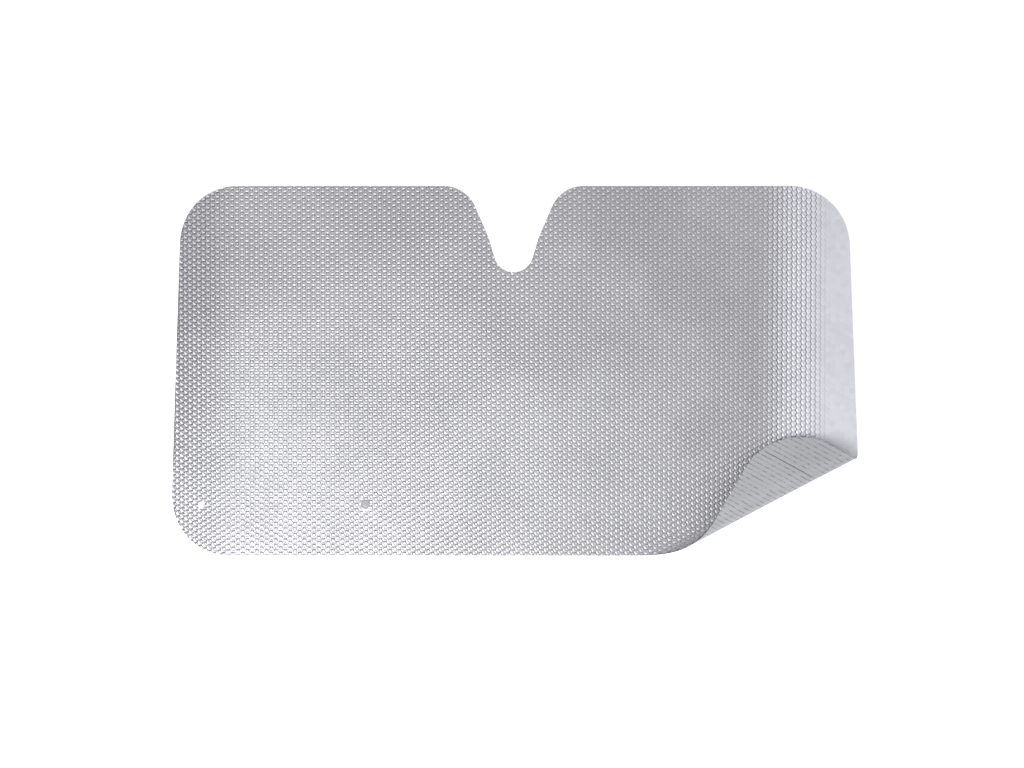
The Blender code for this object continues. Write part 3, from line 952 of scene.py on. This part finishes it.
def select_upper_rim(thing, centre, radius, height):
    """Select the edges of a disc in edit mode that run round its rim above a height."""
    def on_rim(edge):
        return all(vert.co.z > height and math.hypot(vert.co.x - centre.x, vert.co.y - centre.y) > radius
                   for vert in edge.verts)

    bm = bmesh.from_edit_mesh(thing.data)
    select_only(bm, bm.edges, on_rim)
    bmesh.update_edit_mesh(thing.data)


def start_disc(name, centre, radius, low, high):
    """A round blank between two heights, left in edit mode."""
    deselect_all()
    bpy.ops.mesh.primitive_cylinder_add(
        vertices=DISC_SIDES, radius=radius, depth=high - low,
        location=(centre.x, centre.y, (low + high) / 2))
    thing = bpy.context.active_object
    thing.name = name
    thing.data.name = name
    bpy.ops.object.transform_apply(location=True, rotation=True, scale=True)
    bpy.ops.object.mode_set(mode="EDIT")
    return thing


def finish_piece(thing, material, node):
    bpy.ops.object.mode_set(mode="OBJECT")
    bpy.ops.object.shade_smooth_by_angle(angle=SMOOTH_ANGLE)
    thing.data.materials.clear()
    thing.data.materials.append(material)
    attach(thing, "root")
    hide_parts(node)
    deselect_all()


def stud_centre():
    low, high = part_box("stud_button")
    return (low + high) / 2


def plastic_material(settings):
    """Translucent moulded plastic with faint flow marks."""
    material, tree, shader = new_material("translucent_plastic")
    place = add_node(tree, "ShaderNodeTexCoord").outputs["Object"]
    flow = add_node(tree, "ShaderNodeTexNoise", {"Vector": place, "Scale": FLOW_FINENESS, "Detail": 3.0})
    tone = math_node(tree, "MULTIPLY_ADD", flow.outputs["Fac"], FLOW_TONE, 1.0 - FLOW_TONE / 2)
    tree.links.new(scaled_colour(tree, settings.plastic_colour, tone), shader.inputs["Base Color"])
    rough = math_node(tree, "MULTIPLY_ADD", flow.outputs["Fac"], FLOW_ROUGHNESS,
                      settings.roughness - FLOW_ROUGHNESS / 2)
    tree.links.new(rough, shader.inputs["Roughness"])
    add_bump(tree, shader, flow.outputs["Fac"], *FLOW_BUMP)
    shader.inputs["Transmission Weight"].default_value = 0.35
    shader.inputs["IOR"].default_value = 1.49
    return material


class SUNSHADE_OT_stud(bpy.types.Operator):
    """Make the closure stud: a head with a raised rim on a shank, and its cap in the back"""
    bl_idname = "sunshade.stud"
    bl_label = "Closure stud"

    def execute(self, context):
        settings = context.scene.sunshade_stud
        material = plastic_material(settings)
        centre = stud_centre()
        top = HEAD_SEAT + HEAD_THICKNESS
        head = start_disc("stud_head", centre, HEAD_RADIUS, HEAD_SEAT, top + HEAD_BEVEL)
        select_facing(head, 1)
        bpy.ops.mesh.inset(thickness=HEAD_RIM, depth=0.0)
        bpy.ops.mesh.inset(thickness=HEAD_BEVEL, depth=-HEAD_BEVEL * HEAD_DISH_SLOPE)
        bpy.ops.mesh.inset(thickness=GATE_INSET, depth=0.0)
        bpy.ops.mesh.inset(thickness=GATE_BEVEL, depth=GATE_RISE)
        select_upper_rim(head, centre, HEAD_RADIUS * RIM_SHARE, top)
        bpy.ops.mesh.bevel(offset=HEAD_BEVEL, segments=3)
        select_facing(head, -1)
        bpy.ops.mesh.inset(thickness=HEAD_RADIUS - SHANK_RADIUS, depth=0.0)
        bpy.ops.mesh.extrude_region_move(
            TRANSFORM_OT_translate={"value": (0.0, 0.0, SHANK_END - HEAD_SEAT)})
        finish_piece(head, material, "stud_button")
        cap = start_disc("stud_cap_disc", centre, CAP_RADIUS, 0.0, CAP_THICKNESS)
        select_facing(cap, 1)
        bpy.ops.mesh.inset(thickness=CAP_RADIUS - BORE_RADIUS, depth=0.0)
        bpy.ops.mesh.extrude_region_move(
            TRANSFORM_OT_translate={"value": (0.0, 0.0, CAP_FLOOR - CAP_THICKNESS)})
        select_facing(cap, -1)
        bpy.ops.mesh.inset(thickness=CAP_RING, depth=0.0)
        finish_piece(cap, material, "stud_cap")
        return {"FINISHED"}


def floor_material():
    """White floor that still takes the shade's shadow."""
    material, tree, shader = new_material("studio_floor")
    tree.nodes.remove(shader)
    output = tree.nodes["Material Output"]
    rays = add_node(tree, "ShaderNodeLightPath")
    seen = math_node(tree, "ADD", rays.outputs["Is Camera Ray"], rays.outputs["Is Glossy Ray"])
    seen = math_node(tree, "ADD", seen, rays.outputs["Is Transmission Ray"], clamp=True)
    paint = add_node(tree, "ShaderNodeBsdfDiffuse", {"Color": (FLOOR_PAINT, FLOOR_PAINT, FLOOR_PAINT, 1.0)})
    strength = math_node(tree, "MULTIPLY", seen, FLOOR_GLOW)
    glow = add_node(tree, "ShaderNodeEmission", {"Color": (1.0, 1.0, 1.0, 1.0), "Strength": strength})
    both = add_node(tree, "ShaderNodeAddShader", {0: paint.outputs[0], 1: glow.outputs[0]})
    tree.links.new(both.outputs[0], output.inputs["Surface"])
    return material


def studio_world(settings):
    """A pale studio, brighter straight overhead than round the sides."""
    world = bpy.data.worlds.new("studio")
    bpy.context.scene.world = world
    world.use_nodes = True
    tree = world.node_tree
    background = tree.nodes["Background"]
    direction = add_node(tree, "ShaderNodeTexCoord").outputs["Generated"]
    split = add_node(tree, "ShaderNodeSeparateXYZ", {0: direction})
    overhead = ramp_between(tree, split.outputs["Z"], OVERHEAD_STARTS, 1.0)
    level = math_node(tree, "MULTIPLY_ADD", overhead, settings.overhead - settings.sides, settings.sides)
    less = math_node(tree, "MULTIPLY", level, RED_GREEN_SHARE)
    tint = add_node(tree, "ShaderNodeCombineColor", {"Red": less, "Green": less, "Blue": level})
    tree.links.new(tint.outputs[0], background.inputs["Color"])


def add_lamp(name, place, target, size, power):
    data = bpy.data.lights.new(name, "AREA")
    data.shape = "RECTANGLE"
    data.size, data.size_y = size
    data.energy = power
    lamp = bpy.data.objects.new(name, data)
    bpy.context.scene.collection.objects.link(lamp)
    aim = Vector(target) - Vector(place)
    lamp.matrix_world = Matrix.Translation(place) @ aim.to_track_quat("-Z", "Y").to_matrix().to_4x4()


class SUNSHADE_OT_stage(bpy.types.Operator):
    """Make the white floor, the studio light and the camera"""
    bl_idname = "sunshade.stage"
    bl_label = "Stage"

    def execute(self, context):
        settings = context.scene.sunshade_stage
        deselect_all()
        bpy.ops.mesh.primitive_plane_add(size=FLOOR_SIZE, location=(0.0, 0.0, -FLOOR_DROP))
        floor = context.active_object
        floor.name = "studio_floor"
        floor.data.materials.append(floor_material())
        studio_world(settings)
        add_lamp("corner_lamp", CORNER_LAMP_PLACE, CORNER_LAMP_TARGET, CORNER_LAMP_SIZE,
                 settings.corner_lamp)
        add_lamp("edge_lamp", EDGE_LAMP_PLACE, EDGE_LAMP_TARGET, EDGE_LAMP_SIZE, settings.edge_lamp)
        tilt = settings.camera_tilt
        camera = bpy.data.objects.new("camera", bpy.data.cameras.new("camera"))
        camera.data.lens = settings.camera_lens
        camera.data.sensor_width = SENSOR_WIDTH
        camera.location = SHADE_MIDDLE + settings.camera_distance * Vector(
            (0.0, math.sin(tilt), math.cos(tilt)))
        camera.rotation_euler = (-tilt, 0.0, 0.0)
        context.scene.collection.objects.link(camera)
        context.scene.camera = camera
        context.scene.view_settings.view_transform = "Standard"
        return {"FINISHED"}


class SUNSHADE_PT_panel(bpy.types.Panel):
    bl_label = "Sunshade"
    bl_idname = "SUNSHADE_PT_panel"
    bl_space_type = "VIEW_3D"
    bl_region_type = "UI"
    bl_category = "Sunshade"

    def draw(self, context):
        scene = context.scene
        for operator, settings in (
                (SUNSHADE_OT_film, scene.sunshade_film),
                (SUNSHADE_OT_stud, scene.sunshade_stud),
                (SUNSHADE_OT_stage, scene.sunshade_stage)):
            box = self.layout.box()
            box.operator(operator.bl_idname)
            for name in settings.bl_rna.properties.keys():
                if name not in ("name", "rna_type"):
                    box.prop(settings, name)


CLASSES = (
    FilmSettings, StudSettings, StageSettings,
    SUNSHADE_OT_film, SUNSHADE_OT_stud, SUNSHADE_OT_stage, SUNSHADE_PT_panel)


def register():
    for kind in CLASSES:
        bpy.utils.register_class(kind)
    bpy.types.Scene.sunshade_film = bpy.props.PointerProperty(type=FilmSettings)
    bpy.types.Scene.sunshade_stud = bpy.props.PointerProperty(type=StudSettings)
    bpy.types.Scene.sunshade_stage = bpy.props.PointerProperty(type=StageSettings)


def unregister():
    del bpy.types.Scene.sunshade_stage
    del bpy.types.Scene.sunshade_stud
    del bpy.types.Scene.sunshade_film
    for kind in reversed(CLASSES):
        bpy.utils.unregister_class(kind)


def main():
    register()
    bpy.ops.sunshade.film()
    bpy.ops.sunshade.stud()
    bpy.ops.sunshade.stage()
    float(outline_area(sheet_outline()))
    bpy.context.view_layer.update()


if __name__ == "__main__":
    main()
